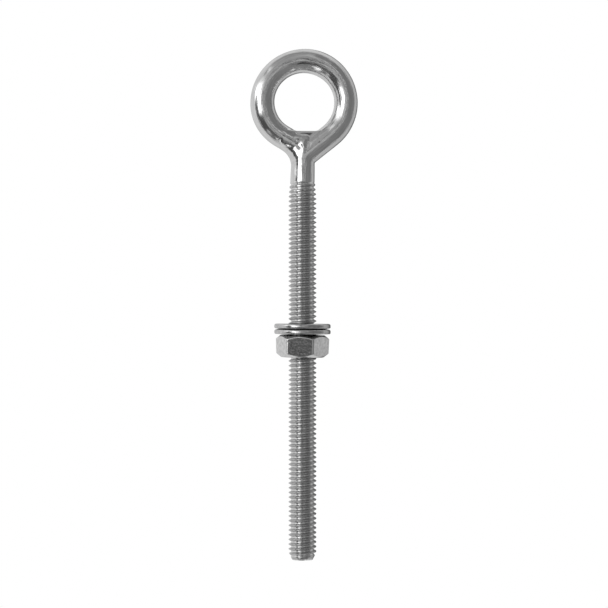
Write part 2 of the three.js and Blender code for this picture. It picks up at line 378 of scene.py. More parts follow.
def bar_radius(length, depth):
    """Radius of the bar before it is bent, where depth is the thread's depth as a share."""
    thread = CREST_RADIUS - (CREST_RADIUS - ROOT_RADIUS) * depth
    loss = CREST_LOSS * smoothstep(LOW_CRESTS_FROM, THREAD_LENGTH, length)
    thread = np.minimum(thread, CREST_RADIUS - loss)
    run_out = smoothstep(THREAD_LENGTH - 0.15 * MM, THREAD_LENGTH + 0.4 * MM, length)
    radius = thread + (plain_radius(length) - thread) * run_out
    up = np.clip(length / TIP_CHAMFER, 0, 1)
    tip = TIP_RADIUS + (CREST_RADIUS - TIP_RADIUS) * up**0.85
    return np.where(length < TIP_CHAMFER, np.minimum(radius, tip), radius)


def bent(length, angle, radius):
    """Places on the bent bar, each from its length along it, its angle round it and its radius."""
    x, z, tx, tz = along_path(length)
    outward = radius * np.cos(angle)
    back = radius * np.sin(angle) + set_back(length)
    place = np.stack([x + outward * tz, back, z - outward * tx], -1)
    normal = np.stack([np.cos(angle) * tz, np.sin(angle), -np.cos(angle) * tx], -1)
    uneven = unevenness(place) * smoothstep(THREAD_LENGTH, THREAD_LENGTH + 1 * MM, length)
    return place + uneven[..., None] * normal


def bar_piece():
    per_turn = len(THREAD_PROFILE)
    height, row, column = helical_rows(
        BAR_FIRST_TURN, BAR_TURNS, THREAD_PROFILE, relax_from=THREAD_TURNS
    )
    length = height
    for start, spread in ROW_SPREAD:
        length = length + spread * np.maximum(height - start, 0)
    depth = np.array([share for _, share in THREAD_PROFILE])[row % per_turn]
    angle = np.broadcast_to(2 * math.pi * column / COLUMNS, length.shape)

    radius = bar_radius(length, depth)
    straight = np.stack([radius * np.cos(angle), radius * np.sin(angle), length], -1)
    bevel = smoothstep(FREE_END_AT - 2.4 * MM, FREE_END_AT - 0.4 * MM, length)
    place = bent(length, angle, radius - FREE_END_BEVEL * bevel)
    faces = helical_faces(BAR_TURNS * per_turn, per_turn)
    piece = mesh_object("eye_bolt_bar", place.reshape(-1, 3), faces)

    # Painted shade on the thread's crests and painted light in its grooves, fading out above the
    # thread.
    painted_light_and_shade = CREST_PAINTED_SHADE + (GROOVE_PAINTED_LIGHT - CREST_PAINTED_SHADE) * smoothstep(0.25, 0.6, depth)
    painted_light_and_shade = painted_light_and_shade * smoothstep(THREAD_LENGTH + 0.1 * MM, THREAD_LENGTH - 0.2 * MM, length)
    add_finish_coordinates(piece.data, straight.reshape(-1, 3), painted_light_and_shade)
    bm = bmesh.new()
    bm.from_mesh(piece.data)
    bm.verts.ensure_lookup_table()
    bmesh.ops.delete(bm, geom=[v for v in bm.verts if not v.link_faces], context="VERTS")

    # Both ends are made too long, then cut and closed.
    low = [f for f in bm.faces if f.calc_center_median().z < 2 * MM]
    tip_loop = cut(bm, low, (0, 0, 0), (0, 0, -1))
    cap(bm, tip_loop, (0.96, 0.7, 0.35))

    coordinates = bm.verts.layers.float_vector["straight"]
    end = Vector((FREE_END[0], 0, FREE_END[1]))
    direction = Vector((FREE_DIRECTION[0], 0, FREE_DIRECTION[1]))
    late = [f for f in bm.faces if min(v[coordinates].z for v in f.verts) > FREE_END_AT - 2 * MM]
    end_loop = cut(bm, late, end, direction)
    cap(bm, end_loop, (0.9, 0.5))
    finish_mesh(bm, piece.data, math.radians(50))
    return piece


def add_finish_coordinates(mesh, coordinates, painted_light_and_shade):
    """Where each point would lie if the bar were straight, which tool marks follow, and how
    much painted shade sits there, from 0 to 1, or below 0 where painted light makes the steel brighter
    than usual."""
    attribute = mesh.attributes.new("straight", "FLOAT_VECTOR", "POINT")
    attribute.data.foreach_set("vector", np.asarray(coordinates, np.float32).ravel())
    attribute = mesh.attributes.new("painted_light_and_shade", "FLOAT", "POINT")
    attribute.data.foreach_set("value", np.asarray(painted_light_and_shade, np.float32).ravel())


# ---------------------------------------------------------------- the weld

EYE_CENTRE = np.array([EYE_X, 0, EYE_Z])
WELD_STEP = 0.085 * MM
WELD_LOW = EYE_CENTRE + np.array([-6.1, -3.3, -15.0]) * MM
WELD_HIGH = EYE_CENTRE + np.array([5.0, 3.5, -3.0]) * MM
NECK_STRETCH = (75 * MM, 101 * MM)  # of the centreline, near the weld
ARM_STRETCH = (FREE_END_AT - 12 * MM, FREE_END_AT + 1.6 * MM)

# The ridge of weld metal that runs up the neck's middle, between two heights.
RIDGE_X = 0.1 * MM
RIDGE_LOW, RIDGE_HIGH = 84 * MM, 88.1 * MM
RIDGE_RADIUS = 2.45 * MM

# The web in the crotch.
WEB_TOP = EYE_Z - 6.05 * MM
WEB_HEIGHT = 3.0 * MM
WEB_LEFT, WEB_RIGHT = EYE_X - 4.6 * MM, EYE_X + 4.2 * MM
WEB_MIDDLE, WEB_HALF_WIDTH = 0.6 * MM, 4.5 * MM
WEB_EDGE = 0.5 * MM  # rounding

# Centre and half sizes of each small bead and pit of the weld, in millimetres.
WELD_BEADS = (
    ((-1.0, -1.35, 89.6), (0.8, 0.5, 0.4)),
    ((-0.9, 1.9, 88.9), (0.8, 0.6, 0.8)),
)
WELD_PITS = (
    ((1.0, -2.75, 88.4), (0.55, 0.7, 0.8)),
    ((0.9, 3.0, 89.3), (0.8, 0.8, 0.7)),
)


def trilinear(field, place):
    """Values of a grid field between its points, at places given in grid steps."""
    base = place.astype(int)
    share = place - base
    total = np.zeros(len(place))
    for corner in ((a, b, c) for a in (0, 1) for b in (0, 1) for c in (0, 1)):
        weight = np.prod(np.where(corner, share, 1 - share), axis=1)
        total += weight * field[tuple((base + corner).T)]
    return total


def quarter(array, axes, steps):
    """The grid without its first (for a step of 1) or its last layer along each of two axes."""
    part = [slice(None)] * 3
    for axis, step in zip(axes, steps):
        part[axis] = slice(1, None) if step else slice(None, -1)
    return array[tuple(part)]


def open_pinches(field, step):
    """Clears grid squares whose inside corners touch only diagonally, where a mesh would pinch."""
    for _ in range(6):
        pinched = np.zeros(field.shape, bool)
        for axis in range(3):
            axes = (axis + 1) % 3, (axis + 2) % 3
            corners = ((0, 0), (1, 1), (0, 1), (1, 0))
            near, far, left, right = (quarter(field < 0, axes, steps) for steps in corners)
            crossed = (near & far & ~left & ~right) | (~near & ~far & left & right)
            for steps in corners:
                view = quarter(pinched, axes, steps)
                view |= crossed
        if not (pinched & (field < 0)).any():
            break
        field = np.where(pinched & (field < 0), 0.1 * step, field)
    return field


def surface_nets(field, corner, step):
    """A closed quad mesh where field is zero, with field negative inside."""
    field = open_pinches(field, step)
    inside = field < 0
    cells = tuple(n - 1 for n in field.shape)
    corners = [(a, b, c) for a in (0, 1) for b in (0, 1) for c in (0, 1)]

    def shifted(array, offset):
        return array[tuple(slice(o, o + n) for o, n in zip(offset, cells))]

    total = sum(shifted(inside, o).astype(int) for o in corners)
    mixed = (total > 0) & (total < 8)
    index = np.full(cells, -1)
    index[mixed] = np.arange(mixed.sum())
    place = np.zeros((mixed.sum(), 3))
    crossings = np.zeros(mixed.sum())
    for start in corners:
        for axis in range(3):
            if start[axis]:
                continue
            end = tuple(1 if k == axis else start[k] for k in range(3))
            a, b = shifted(field, start)[mixed], shifted(field, end)[mixed]
            crosses = (a < 0) != (b < 0)
            share = np.where(crosses, a / np.where(crosses, a - b, 1), 0)
            point = np.array(start, float) + share[:, None] * (np.array(end) - np.array(start))
            place += point * crosses[:, None]
            crossings += crosses
    place = place / crossings[:, None] + np.argwhere(mixed)

    # Settle each vertex onto the surface, along the field's slope.
    slope = np.gradient(field)
    limit = np.array(field.shape) - 1.001
    for _ in range(3):
        place = np.clip(place, 0, limit)
        away = trilinear(field, place)
        steep = np.stack([trilinear(one, place) for one in slope], 1)
        move = steep * (away / np.maximum((steep**2).sum(1), 1e-12))[:, None]
        size = np.linalg.norm(move, axis=1, keepdims=True)
        place = place - move * np.minimum(1, 0.3 / np.maximum(size, 1e-9))

    faces = []
    for axis in range(3):
        u, v = (axis + 1) % 3, (axis + 2) % 3
        size = list(field.shape)
        size[axis] -= 1
        low = tuple(slice(0, size[k]) for k in range(3))
        high = tuple(slice(1, None) if k == axis else slice(0, size[k]) for k in range(3))
        for rising in (True, False):
            here = inside[low] & ~inside[high] if rising else ~inside[low] & inside[high]
            edge = np.argwhere(here)
            edge = edge[(edge[:, u] > 0) & (edge[:, v] > 0)]
            edge = edge[(edge[:, u] < cells[u]) & (edge[:, v] < cells[v])]
            du, dv = np.zeros(3, int), np.zeros(3, int)
            du[u], dv[v] = 1, 1
            ring = [edge - du - dv, edge - dv, edge, edge - du]
            ring = [index[tuple(cell.T)] for cell in (ring if rising else ring[::-1])]
            faces.append(np.stack(ring, 1))
    return corner + place * step, np.concatenate(faces)


def distance_to_path(x, z, first, last):
    """From each point of an XZ grid: distance to a stretch of the centreline, and where on it."""
    stretch = (PATH_LENGTH >= first) & (PATH_LENGTH <= last)
    gx, gz = np.meshgrid(x, z, indexing="ij")
    nearest = np.full(gx.shape, 1.0)
    where = np.zeros(gx.shape)
    for (px, pz), length in zip(PATH[stretch][::3], PATH_LENGTH[stretch][::3]):
        away = np.hypot(gx - px, gz - pz)
        where = np.where(away < nearest, length, where)
        nearest = np.minimum(nearest, away)
    return nearest, where


def smooth_union(a, b, blend):
    h = np.clip(0.5 + 0.5 * (b - a) / blend, 0, 1)
    return b + (a - b) * h - blend * h * (1 - h)


def smooth_cut(a, b, blend):
    """The larger of a and b, with the edge between them rounded."""
    return -smooth_union(-a, -b, blend)


def ellipsoid(points, centre, radii):
    """Roughly the distance to an ellipsoid's surface."""
    scaled = np.linalg.norm((points - np.array(centre) * MM) / (np.array(radii) * MM), axis=-1)
    return (scaled - 1) * min(radii) * MM


def weld_body(x, z, across, neck, arm):
    """The arm flowing into the neck. Seen from the front it has a full fillet below the arm and
    a thin one in the crotch, and each point of that outline then gets the roundness of the bar
    beneath it. neck and arm are each (distance to the centreline, radius, set back)."""
    ridge = np.hypot(x - RIDGE_X, np.maximum(z - RIDGE_HIGH, 0))
    ridge = np.where(z < RIDGE_LOW, 9 * MM, ridge)  # far off, so none below its low end
    valley = (0.02 + 0.25 * smoothstep(85 * MM, 87 * MM, z)) * MM
    stem = smooth_union(neck[0] - neck[1], ridge - RIDGE_RADIUS, valley)
    limb = arm[0] - arm[1]
    below_arm = (x - FREE_END[0]) * FREE_DIRECTION[1] - (z - FREE_END[1]) * FREE_DIRECTION[0]
    under = smoothstep(-1.0 * MM, 1.6 * MM, below_arm) * smoothstep(1.2 * MM, -0.6 * MM, x)
    fillet = (0.3 + 1.8 * under) * MM
    outline = smooth_union(stem, limb, fillet)
    towards_limb = np.clip(0.5 + 0.5 * (stem - limb) / (0.5 * MM + 0.5 * fillet), 0, 1)
    centre = arm[2] * towards_limb
    full = neck[1] + (arm[1] - neck[1]) * towards_limb
    return np.hypot(np.maximum(full + outline, 0), across - centre) - full


def weld_web(x, z, across):
    """A plate with a flat top and a hollow front and back."""
    from_middle = (x - EYE_X - WEB_MIDDLE) / WEB_HALF_WIDTH
    half_thickness = (1.3 + 0.3 * from_middle**2 + 0.35 * (WEB_TOP - z) / (4 * MM)) * MM
    web = smooth_cut(np.abs(across) - half_thickness, z - WEB_TOP, WEB_EDGE)
    web = smooth_cut(web, WEB_TOP - WEB_HEIGHT - z, WEB_EDGE)
    return smooth_cut(web, np.maximum(x - WEB_RIGHT, WEB_LEFT - x), WEB_EDGE)


def weld_roughness(points):
    """Weld metal is uneven beside the neck and smoother towards its edges."""
    middle = np.array([-1.0, 0, 87.4]) * MM
    near = np.exp(-((np.linalg.norm((points - middle) / (2.1, 3, 2.4), axis=-1) / MM) ** 2))
    coarse, fine = waves(points, 1.1 * MM, seed=11), waves(points, 0.55 * MM, seed=5)
    return near * MM * (0.02 * coarse + 0.01 * fine)


def weld_piece():
    """The weld metal, from its distance field on a grid, negative inside."""
    x, y, z = (np.arange(WELD_LOW[k], WELD_HIGH[k], WELD_STEP) for k in range(3))
    across = y[None, :, None]
    points = np.stack(np.meshgrid(x, y, z, indexing="ij"), -1)
    flat_x, flat_z = points[:, :1, :, 0], points[:, :1, :, 2]

    neck_line, neck_at = distance_to_path(x, z, *NECK_STRETCH)
    arm_line, arm_at = distance_to_path(x, z, *ARM_STRETCH)
    neck_line, arm_line = neck_line[:, None, :], arm_line[:, None, :]
    neck_radius, arm_radius = plain_radius(neck_at)[:, None, :], plain_radius(arm_at)[:, None, :]
    arm_back = set_back(arm_at)[:, None, :]

    neck, arm = (neck_line, neck_radius, 0), (arm_line, arm_radius, arm_back)
    metal = weld_body(flat_x, flat_z, across, neck, arm)
    metal = smooth_union(metal, weld_web(flat_x, flat_z, across), 0.5 * MM)
    for bead, radii in WELD_BEADS:
        metal = smooth_union(metal, ellipsoid(points, bead, radii), 0.4 * MM)
    for pit, radii in WELD_PITS:
        metal = smooth_cut(metal, -ellipsoid(points, pit, radii), 0.4 * MM)
    metal = metal - weld_roughness(points) - unevenness(points)

    # The weld stands a hair proud of the bar and sinks under its surface towards the edges, and
    # right of the neck's and the bent bar's middle, where there is none.
    reach = np.linalg.norm((points - np.array([-0.3, 0, 88.2]) * MM) / (5.2, 9, 5.6), axis=-1)
    bend_x, bend_z = flat_x - BEND_END[0], flat_z - BEND_END[1]
    below_bar = bend_x * math.cos(NECK_ANGLE) - bend_z * math.sin(NECK_ANGLE)
    right = np.minimum(flat_x - NECK_OFFSET, below_bar)
    sinks_at_edge = smoothstep(0.72 * MM, 1.0 * MM, reach)
    sinks_on_right = smoothstep(-0.3 * MM, 0.7 * MM, right)
    lift = (0.012 - 0.04 * np.maximum(sinks_at_edge, sinks_on_right)) * MM

    # It is hollowed out where the bar is, but for a skin that reaches into the bar.
    end_x, end_z = flat_x - FREE_END[0], flat_z - FREE_END[1]
    past_end = end_x * FREE_DIRECTION[0] + end_z * FREE_DIRECTION[1]
    neck_bar = np.hypot(neck_line, across) - neck_radius
    arm_bar = np.hypot(arm_line, across - arm_back) - arm_radius
    bar = np.minimum(neck_bar, np.maximum(arm_bar, past_end))
    weld = np.maximum(metal - lift, -(bar + 0.35 * MM))
    weld = np.maximum(weld, (reach - 1 * MM) * 4)
    vertices, faces = surface_nets(weld, WELD_LOW, WELD_STEP)
    piece = mesh_object("weld_bead", vertices, faces, math.radians(60))
    add_finish_coordinates(piece.data, vertices, np.zeros(len(vertices)))
    return piece


# ---------------------------------------------------------------- the nut and the washers


WASHER_BORE = 3.2 * MM
BORE_EDGE = 0.15 * MM  # radii of the stamped edges, at the bore and at the rim
TOP_EDGE, BOTTOM_EDGE = 0.4 * MM, 0.3 * MM
WASHER_TILT = math.radians(0.35)
WASHER_SEGMENTS = 144


def washer_profile(radius, thickness, crown_top, crown_bottom):
    """Points (radius, height) round a washer's section. A crown is how far the face stands
    proud inside the rim."""

    def corner(centre_r, centre_z, size, first, last):
        angle = np.radians(np.linspace(first, last, 6))
        return [(centre_r + size * math.cos(a), centre_z + size * math.sin(a)) for a in angle]

    def face(level, crown, first, last):
        r = np.linspace(first, last, 9)
        return list(zip(r, level + crown * smoothstep(5.6 * MM, 5.15 * MM, r)))

    bore, face_start = WASHER_BORE + BORE_EDGE, WASHER_BORE + 0.4 * MM
    # The rim's edges start 2 degrees off the faces, so that no two points coincide.
    return (
        corner(bore, thickness - BORE_EDGE, BORE_EDGE, 180, 90)
        + face(thickness, crown_top, face_start, radius - TOP_EDGE - 0.02 * MM)
        + corner(radius - TOP_EDGE, thickness - TOP_EDGE, TOP_EDGE, 88, 0)
        + corner(radius - BOTTOM_EDGE, BOTTOM_EDGE, BOTTOM_EDGE, 0, -88)
        + face(0.0, -crown_bottom, radius - BOTTOM_EDGE - 0.02 * MM, face_start)
        + corner(bore, BORE_EDGE, BORE_EDGE, 270, 180)
    )


def washer_piece(name, low, high, crown_top, crown_bottom, seed):
    """A stamped washer. A crowned face gets painted shade inside the rim, where its neighbour bears,
    for the dark gap between the parts.
    """
    thickness = high.z - low.z
    profile = washer_profile((high.x - low.x) / 2, thickness, crown_top, crown_bottom)
    ring = np.array(profile)
    crown = np.where(ring[:, 1] > thickness / 2, crown_top, crown_bottom)
    # Painted shade on a crowned face inside the rim, for the dark gap between the parts.
    painted_light_and_shade = (crown > 0) * smoothstep(5.75 * MM, 5.45 * MM, ring[:, 0])
    segments = WASHER_SEGMENTS
    angle = np.linspace(0, 2 * math.pi, segments, endpoint=False)
    r = ring[None, :, 0] + 0 * angle[:, None]
    z = ring[None, :, 1] + 0 * angle[:, None]
    vertices = np.stack([r * np.cos(angle)[:, None], r * np.sin(angle)[:, None], z + low.z], -1)
    vertices[..., 2] += waves(vertices * (1, 1, 0), 3.5 * MM, seed) * 0.006 * MM
    vertices[..., 2] -= vertices[..., 0] * math.tan(WASHER_TILT)
    count = len(profile)
    faces = [
        (
            k * count + m,
            k * count + (m + 1) % count,
            ((k + 1) % segments) * count + (m + 1) % count,
            ((k + 1) % segments) * count + m,
        )
        for k in range(segments)
        for m in range(count)
    ]
    piece = mesh_object(name, vertices.reshape(-1, 3), faces, math.radians(60))
    add_finish_coordinates(piece.data, vertices.reshape(-1, 3), painted_light_and_shade[None, :] + 0 * r)
    return piece


def hexagon_radius(angle, across_flats, fillet):
    """Distance from the axis to a hexagon with rounded corners and its flats facing 30, 90, ...
    degrees."""
    sector = math.pi / 3
    turned = (angle % sector) - sector / 2
    flat = across_flats / 2 / np.cos(turned)
    corner_centre = (across_flats / 2 - fillet) / math.cos(math.pi / 6)
    from_corner = sector / 2 - np.abs(turned)
    side = corner_centre * np.sin(from_corner)
    rounded = corner_centre * np.cos(from_corner) + np.sqrt(np.maximum(fillet**2 - side**2, 0))
    return np.where(side < fillet * math.sin(math.pi / 6), rounded, flat)


NUT_FILLET = 0.45 * MM  # of the six upright corners
NUT_CHAMFER_CIRCLE = 4.62 * MM
NUT_CHAMFER = math.tan(math.radians(38))
NUT_ROUNDING = 0.07 * MM  # where a chamfer meets a flat
NUT_MOUTH = 3.25 * MM
NUT_DRAFT = math.tan(math.radians(1.8))  # the flats spread upwards
NUT_LEAN, NUT_ROLL = math.radians(1.2), math.radians(0.8)  # it sits askew on its thread
TAP_CREST, TAP_GROOVE = 2.56 * MM, 3.07 * MM  # radii of the nut's own thread
TAP_TURNS = 12
# Painted shade inside the tapped hole, which also makes it rougher.
HOLE_PAINTED_SHADE = 0.7
TAP_HALF = ((0.06, 0.98), (0.1, 0.88), (0.36, 0.1), (0.4, 0.02))
TAP_PROFILE = whole_pitch(TAP_HALF, middle=1.0, end=0.0)


def nut_columns():
    """Angles of the nut's columns, which crowd towards each corner, where the outline turns."""
    share = np.linspace(-1, 1, 26, endpoint=False)
    crowded = np.sign(share) * (1 - (1 - np.abs(share)) ** 1.6)
    sectors = [math.radians(60 * k + 30) + crowded * math.radians(30) for k in range(6)]
    return np.concatenate(sectors)


def nut_end(wall):
    """Rings of one end of the nut, from the mouth of its bore out and down to the flats, each
    as (radius, depth under the end face)."""
    flat = 0 * wall
    drop = (wall - NUT_CHAMFER_CIRCLE) * NUT_CHAMFER
    rings = [
        (NUT_MOUTH + 0.2 * MM + flat, flat),
        (NUT_MOUTH + 0.7 * MM + flat, flat),
        (NUT_CHAMFER_CIRCLE - 0.12 * MM + flat, flat),
        (NUT_CHAMFER_CIRCLE + 0.03 * MM + flat, 0.012 * MM + flat),
    ]
    for share in (0.3, 0.65):
        rings.append((NUT_CHAMFER_CIRCLE + (wall - NUT_CHAMFER_CIRCLE) * share, drop * share))
    before = NUT_ROUNDING * 0.85
    rings.append((wall - before, drop - before * NUT_CHAMFER))
    rings.append((wall - NUT_ROUNDING * 0.22, drop + NUT_ROUNDING * 0.28))
    rings.append((wall, drop + NUT_ROUNDING * 1.1))
    rings.append((wall, drop + NUT_ROUNDING * 1.1 + 0.06 * MM))
    return rings


def nut_shell():
    """The nut's outside as rings of points, from the upper mouth down to the lower one."""
    top, bottom = NUT_HIGH.z, NUT_LOW.z
    angle = nut_columns()
    wall = hexagon_radius(angle, NUT_ACROSS_FLATS, NUT_FILLET)
    turned = angle + NUT_TURNED

    def ring(radius, z):
        return np.stack([radius * np.cos(turned), radius * np.sin(turned), z], -1)

    end = nut_end(wall)
    rings = [ring(radius, top - depth) for radius, depth in end]
    rings += [ring(wall, bottom + (top - bottom) * level + 0 * wall) for level in (0.65, 0.5, 0.35)]
    rings += [ring(radius, bottom + depth) for radius, depth in reversed(end)]
    outside = np.stack(rings)
    from_middle = outside[..., 2] - (top + bottom) / 2
    outside[..., :2] *= 1 + (from_middle * NUT_DRAFT / NUT_CHAMFER_CIRCLE)[..., None]
    rise = outside[..., 1] * math.sin(NUT_LEAN) - outside[..., 0] * math.sin(NUT_ROLL)
    outside[..., 2] += rise
    outside[..., 0] += from_middle * math.sin(NUT_ROLL)
    outside[..., 1] -= from_middle * math.sin(NUT_LEAN)
    return outside


def tapped_hole():
    """Points of the nut's thread, over-long, which opens to a 45 degree mouth at both faces."""
    top, bottom = NUT_HIGH.z, NUT_LOW.z
    first = math.floor((bottom - CREST_AT_X) / PITCH) - 3
    z, row, column = helical_rows(first, TAP_TURNS, TAP_PROFILE)
    depth = np.array([share for _, share in TAP_PROFILE])[row % len(TAP_PROFILE)]
    radius = TAP_CREST + (TAP_GROOVE - TAP_CREST) * depth
    inside = np.minimum(top - z, z - bottom)
    radius = np.maximum(radius, NUT_MOUTH - np.maximum(inside, 0))
    radius = np.where(inside < 0, NUT_MOUTH, radius)
    around = np.broadcast_to(2 * math.pi * column / COLUMNS, z.shape)
    return np.stack([radius * np.cos(around), radius * np.sin(around), z], -1).reshape(-1, 3)


def nut_piece():
    """A cold-formed nut with rounded corners, and chamfers that bite into the flats."""
    bm = bmesh.new()
    shell = [[bm.verts.new(p) for p in one] for one in nut_shell()]
    for upper, lower in zip(shell, shell[1:]):
        for k in range(len(upper)):
            following = (k + 1) % len(upper)
            bm.faces.new((upper[k], lower[k], lower[following], upper[following]))

    hole_verts = [bm.verts.new(p) for p in tapped_hole()]
    hole_faces = []
    for face in helical_faces(TAP_TURNS * len(TAP_PROFILE), len(TAP_PROFILE)):
        hole_faces.append(bm.faces.new([hole_verts[k] for k in reversed(face)]))
    bmesh.ops.delete(bm, geom=[v for v in hole_verts if not v.link_faces], context="VERTS")

    # The hole is cut level with both faces and joined to them.
    bottom_loop = cut(bm, hole_faces, (0, 0, NUT_LOW.z), (0, 0, -1))
    within = NUT_MOUTH + 0.01 * MM
    hole_faces = [f for f in bm.faces if max(math.hypot(*v.co.xy) for v in f.verts) < within]
    top_loop = cut(bm, hole_faces, (0, 0, NUT_HIGH.z), (0, 0, 1))
    zipper(bm, shell[0], top_loop)
    zipper(bm, bottom_loop, shell[-1])

    mesh = bpy.data.meshes.new("hex_nut_body")
    finish_mesh(bm, mesh, math.radians(38))
    piece = bpy.data.objects.new("hex_nut_body", mesh)
    bpy.context.scene.collection.objects.link(piece)
    places = np.array([v.co for v in mesh.vertices])
    in_hole = np.hypot(places[:, 0], places[:, 1]) < within
    # Painted shade inside the tapped hole.
    add_finish_coordinates(mesh, places, HOLE_PAINTED_SHADE * in_hole)
    return piece


# ---------------------------------------------------------------- nodes


def node(tree, kind, **settings):
    made = tree.nodes.new(kind)
    for key, value in settings.items():
        setattr(made, key, value)
    return made


def fill(tree, made, values):
    """Sets each named input of a node to a plain value, or links it to an output."""
    for key, value in values.items():
        if isinstance(value, bpy.types.NodeSocket):
            tree.links.new(value, made.inputs[key])
        else:
            made.inputs[key].default_value = value
    return made


def maths(tree, operation, *values):
    made = node(tree, "ShaderNodeMath", operation=operation)
    return fill(tree, made, dict(enumerate(values))).outputs[0]


def ranged(tree, value, start, to, **settings):
    """A value carried from one range to another, and held at its ends."""
    made = node(tree, "ShaderNodeMapRange", **settings)
    limits = dict(zip(("From Min", "From Max", "To Min", "To Max"), (*start, *to)))
    return fill(tree, made, {"Value": value, **limits}).outputs["Result"]


# ---------------------------------------------------------------- materials

NOISE_MIDDLE = (0.3, 0.7)  # nearly all of a noise's values lie here
CLOUDS = 450.0  # scale of the broad changes of tone
# How far painted shade darkens the steel, and how much rougher it makes it.
PAINTED_SHADE_DARKENS = 0.58
PAINTED_SHADE_ROUGHENS = 0.1


def steel(name, shade, rough, streaks, grain):
    """Polished steel: streaks along the bar, fine grain, and small changes of tone and gloss.

    shade and rough are ranges; streaks and grain are each (noise scale, depth of the marks)."""
    material = bpy.data.materials.new(name)
    material.use_nodes = True
    tree = material.node_tree
    tree.nodes.clear()
    coordinates = node(tree, "ShaderNodeAttribute", attribute_name="straight").outputs["Vector"]
    painted_light_and_shade = node(tree, "ShaderNodeAttribute", attribute_name="painted_light_and_shade").outputs["Fac"]

    def noise(vector, scale, detail, roughness):
        inputs = {"Vector": vector, "Scale": scale, "Detail": detail, "Roughness": roughness}
        return fill(tree, node(tree, "ShaderNodeTexNoise"), inputs).outputs["Fac"]

    def bump(height, distance, **inputs):
        inputs = {"Height": height, "Distance": distance, "Strength": 1.0, **inputs}
        return fill(tree, node(tree, "ShaderNodeBump"), inputs).outputs["Normal"]

    stretch = {"Vector": coordinates, "Scale": streaks[0]}
    stretched = fill(tree, node(tree, "ShaderNodeMapping"), stretch).outputs["Vector"]
    streak = noise(stretched, 1.0, 3.0, 0.5)
    speck = noise(coordinates, grain[0], 5.0, 0.6)
    cloud = noise(coordinates, CLOUDS, 3.0, 0.5)

    # Painted shade from the attribute, mottled by the speck noise, darkens the colour and roughens the
    # steel; where the attribute is below none it is painted light and brightens the colour.
    speckled_painted_shade = maths(tree, "MULTIPLY", painted_light_and_shade, ranged(tree, speck, NOISE_MIDDLE, (0.75, 1.0)))
    streaked = ranged(tree, streak, NOISE_MIDDLE, shade)
    clouded = ranged(tree, cloud, NOISE_MIDDLE, (0.96, 1.02))
    tone = maths(tree, "MULTIPLY", streaked, clouded)
    painted_shade_factor = maths(tree, "MULTIPLY_ADD", speckled_painted_shade, -PAINTED_SHADE_DARKENS, 1.0)
    colour = maths(tree, "MULTIPLY", tone, painted_shade_factor)
    painted_shade_roughness = ranged(tree, speckled_painted_shade, (0.0, 1.0), (0.0, PAINTED_SHADE_ROUGHENS))
    gloss = maths(tree, "ADD", ranged(tree, speck, NOISE_MIDDLE, rough), painted_shade_roughness)

    # The polishing belt doesn't reach where the painted light and shade differs from none.
    belt = ranged(tree, maths(tree, "MULTIPLY", painted_light_and_shade, painted_light_and_shade), (0.0, 0.01), (1.0, 0.05))
    streak_bump = bump(maths(tree, "MULTIPLY", streak, belt), streaks[1])
    normal = bump(speck, grain[1], Normal=streak_bump)

    surface = node(tree, "ShaderNodeBsdfPrincipled")
    looks = {"Base Color": colour, "Roughness": gloss, "Normal": normal, "Metallic": 1.0}
    fill(tree, surface, looks)
    out = node(tree, "ShaderNodeOutputMaterial")
    tree.links.new(surface.outputs["BSDF"], out.inputs["Surface"])
    return material


# ---------------------------------------------------------------- studio


CAMERA_DISTANCE = 450 * MM
FRAME_WIDTH = 129.5 * MM  # what the camera sees at that distance
FRAME_CENTRE = (0.33 * MM, (cad_box[0][2] + cad_box[1][2]) / 2 + 0.08 * MM)  # across and up
SENSOR = 36.0
FLOOR_LEVEL = -450 * MM
FLOOR_REACH = 3.0
WHITE = (1, 1, 1, 1)


def camera():
    data = bpy.data.cameras.new("camera")
    data.sensor_width = SENSOR
    data.lens = SENSOR * CAMERA_DISTANCE / FRAME_WIDTH
    data.clip_start = 0.01
    seen = bpy.data.objects.new("camera", data)
    seen.location = (FRAME_CENTRE[0], -CAMERA_DISTANCE, FRAME_CENTRE[1])
    seen.rotation_euler = (math.pi / 2, 0, 0)
    bpy.context.scene.collection.objects.link(seen)
    bpy.context.scene.camera = seen


def floor():
    """A plain white floor, far enough below for the bolt to be seen from under it."""
    mesh = bpy.data.meshes.new("floor")
    corners = [(x * FLOOR_REACH, y * FLOOR_REACH) for x, y in ((-1, -1), (1, -1), (1, 1), (-1, 1))]
    mesh.from_pydata([(x, y, FLOOR_LEVEL) for x, y in corners], [], [(0, 1, 2, 3)])
    plane = bpy.data.objects.new("floor", mesh)
    bpy.context.scene.collection.objects.link(plane)
    paint = bpy.data.materials.new("floor_white")
    paint.use_nodes = True
    tree = paint.node_tree
    tree.nodes.clear()
    glow = fill(tree, node(tree, "ShaderNodeEmission"), {"Color": WHITE, "Strength": 1.0})
    out = node(tree, "ShaderNodeOutputMaterial")
    tree.links.new(glow.outputs["Emission"], out.inputs["Surface"])
    mesh.materials.append(paint)
    plane.visible_glossy = False
    plane.visible_diffuse = False


